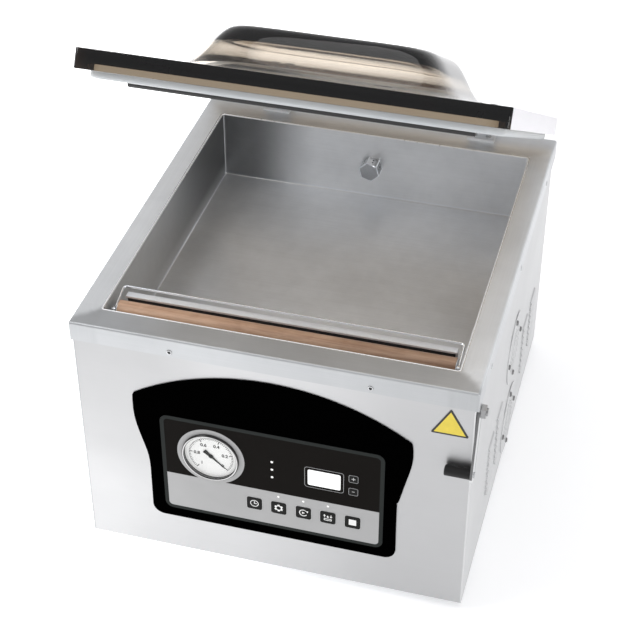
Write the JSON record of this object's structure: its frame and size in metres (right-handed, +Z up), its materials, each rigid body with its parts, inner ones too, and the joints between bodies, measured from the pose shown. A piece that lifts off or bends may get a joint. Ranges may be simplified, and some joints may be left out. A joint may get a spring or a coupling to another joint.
{
  "type": "vacuum packing machine",
  "caption": "Table-top chamber vacuum packer: stainless cabinet with a domed smoked lid, seal bar with bag clamp, vacuum gauge and key panel.",
  "frame": {"origin": "on the bench, under the middle of the cabinet", "axes": "+Z up, -Y towards the operator and the control panel, +X to the operator's right; the lid hinge runs along X at the rear"},
  "size_m": [0.4278, 0.4867, 0.5715],
  "materials": {
    "deck_steel": "satin brushed stainless steel",
    "panel_steel": "fine brushed stainless steel",
    "chamber_steel": "satin pressed stainless steel",
    "fastener_steel": "plain steel",
    "hinge_steel": "satin stainless steel",
    "port_steel": "turned nickel-plated metal",
    "chrome": "polished chrome",
    "aluminium": "satin extruded aluminium",
    "heating_wire": "flat resistance band",
    "ptfe_cloth": "brown PTFE-coated glass cloth, low gloss",
    "smoked_acrylic": "bronze-smoked clear acrylic",
    "pale_silicone": "translucent pale silicone",
    "black_rubber": "matt black rubber",
    "white_plastic": "matt light plastic",
    "black_overlay": "smooth black overlay",
    "insert_overlay": "two-tone dark and light grey overlay",
    "black_key": "black key with a light border",
    "display": "white display window",
    "white_lens": "white indicator lens",
    "gauge_body": "black painted steel",
    "dial_white": "white printed dial",
    "clear_glass": "clear flat glass",
    "pointer_black": "matt black painted aluminium",
    "hazard_yellow": "yellow label with a black border",
    "circuit_board": "green circuit board",
    "transformer": "laminated iron core and winding",
    "pump_casting": "cast and machined pump body",
    "motor_paint": "dark painted motor",
    "brass": "turned brass valves",
    "fan_plastic": "black moulded plastic",
    "inlet_plastic": "black moulded plastic"
  },
  "bodies": {
    "cabinet": {"base_plate": "panel_steel", "rubber_feet": "black_rubber", "front_panel": "panel_steel", "left_side_panel": "panel_steel", "right_side_panel": "panel_steel", "rear_panel": "panel_steel", "deck_plate": "deck_steel", "vacuum_chamber": "chamber_steel", "deck_screws": "fastener_steel", "panel_screws": "fastener_steel", "vacuum_port": "port_steel", "seal_cylinders": "aluminium", "clamp_rail": "aluminium", "clamp_rail_rubber": "black_rubber", "panel_surround": "black_overlay", "panel_insert": "insert_overlay", "display_window": "display", "indicator_leds": "white_lens", "gauge_case": "gauge_body", "gauge_bezel": "chrome", "gauge_glass": "clear_glass", "gauge_dial": "dial_white", "warning_plate": "hazard_yellow", "control_board": "circuit_board", "seal_transformer": "transformer", "vacuum_pump": "pump_casting", "pump_motor": "motor_paint", "pump_mounts": "black_rubber", "valve_block": "brass", "vacuum_hoses": "black_rubber", "fan_frames": "fan_plastic", "fan_guards": "panel_steel", "hinge_brackets": "hinge_steel", "hinge_pins": "fastener_steel", "power_inlet": "inlet_plastic", "lever_stud": "fastener_steel"},
    "lid": {"lid_shell": "smoked_acrylic", "lid_gasket": "pale_silicone", "strip_holder": "white_plastic", "pressure_strip": "black_rubber", "hinge_arms": "hinge_steel", "hinge_arm_bolts": "fastener_steel"},
    "seal_bar": {"seal_bar_base": "aluminium", "sealing_wire": "heating_wire", "seal_bar_cover": "ptfe_cloth", "seal_bar_rods": "fastener_steel"},
    "bag_clamp": {"bag_clamp_rod": "chrome"},
    "side_lever": {"lever_arm": "hinge_steel", "lever_grip": "inlet_plastic"},
    "gauge_pointer": {"gauge_needle": "pointer_black"},
    "timer_button": {"key_timer": "black_key"},
    "preset_button": {"key_preset": "black_key"},
    "marinate_button": {"key_marinate": "black_key"},
    "clean_button": {"key_clean": "black_key"},
    "stop_button": {"key_stop": "black_key"},
    "plus_button": {"key_plus": "black_key"},
    "minus_button": {"key_minus": "black_key"},
    "power_switch": {"power_rocker": "inlet_plastic"},
    "upper_fan": {"fan_rotor_upper": "fan_plastic"},
    "lower_fan": {"fan_rotor_lower": "fan_plastic"}
  },
  "joints": [
    {"name": "lid_hinge", "type": "hinge", "parent": "cabinet", "child": "lid", "pos_m": [0, 0.232, 0.311], "axis": [1, 0, 0], "range_deg": [0, 31.4], "stiffness_Nm_per_rad": 12, "springref_deg": -63.03},
    {"name": "seal_bar_lift", "type": "slide", "parent": "cabinet", "child": "seal_bar", "axis": [0, 0, 1], "range_m": [0, 0.0045]},
    {"name": "bag_clamp_hinge", "type": "hinge", "parent": "seal_bar", "child": "bag_clamp", "pos_m": [0, -0.1873, 0.289], "axis": [-1, 0, 0], "range_deg": [-100, 0]},
    {"name": "side_lever_hinge", "type": "hinge", "parent": "cabinet", "child": "side_lever", "pos_m": [0.2088, -0.222, 0.271], "axis": [-1, 0, 0], "range_deg": [0, 60]},
    {"name": "gauge_pointer_turn", "type": "hinge", "parent": "cabinet", "child": "gauge_pointer", "pos_m": [-0.065, -0.2339, 0.1554], "axis": [0, -1, 0], "range_deg": [0, 270], "stiffness_Nm_per_rad": 0.00005, "springref_deg": -57.3},
    {"name": "timer_key_press", "type": "slide", "parent": "cabinet", "child": "timer_button", "axis": [0, 1, 0], "range_m": [0, 0.0004], "stiffness_N_per_m": 500, "springref_m": -0.0004},
    {"name": "preset_key_press", "type": "slide", "parent": "cabinet", "child": "preset_button", "axis": [0, 1, 0], "range_m": [0, 0.0004], "stiffness_N_per_m": 500, "springref_m": -0.0004},
    {"name": "marinate_key_press", "type": "slide", "parent": "cabinet", "child": "marinate_button", "axis": [0, 1, 0], "range_m": [0, 0.0004], "stiffness_N_per_m": 500, "springref_m": -0.0004},
    {"name": "clean_key_press", "type": "slide", "parent": "cabinet", "child": "clean_button", "axis": [0, 1, 0], "range_m": [0, 0.0004], "stiffness_N_per_m": 500, "springref_m": -0.0004},
    {"name": "stop_key_press", "type": "slide", "parent": "cabinet", "child": "stop_button", "axis": [0, 1, 0], "range_m": [0, 0.0004], "stiffness_N_per_m": 500, "springref_m": -0.0004},
    {"name": "plus_key_press", "type": "slide", "parent": "cabinet", "child": "plus_button", "axis": [0, 1, 0], "range_m": [0, 0.0004], "stiffness_N_per_m": 500, "springref_m": -0.0004},
    {"name": "minus_key_press", "type": "slide", "parent": "cabinet", "child": "minus_button", "axis": [0, 1, 0], "range_m": [0, 0.0004], "stiffness_N_per_m": 500, "springref_m": -0.0004},
    {"name": "power_rocker_tilt", "type": "hinge", "parent": "cabinet", "child": "power_switch", "pos_m": [-0.12, 0.229, 0.076], "axis": [1, 0, 0], "range_deg": [0, 14]},
    {"name": "upper_fan_spin", "type": "hinge", "parent": "cabinet", "child": "upper_fan", "pos_m": [0.2, 0.022, 0.158], "axis": [1, 0, 0], "continuous": true},
    {"name": "lower_fan_spin", "type": "hinge", "parent": "cabinet", "child": "lower_fan", "pos_m": [0.2, 0.022, 0.054], "axis": [1, 0, 0], "continuous": true}
  ]
}
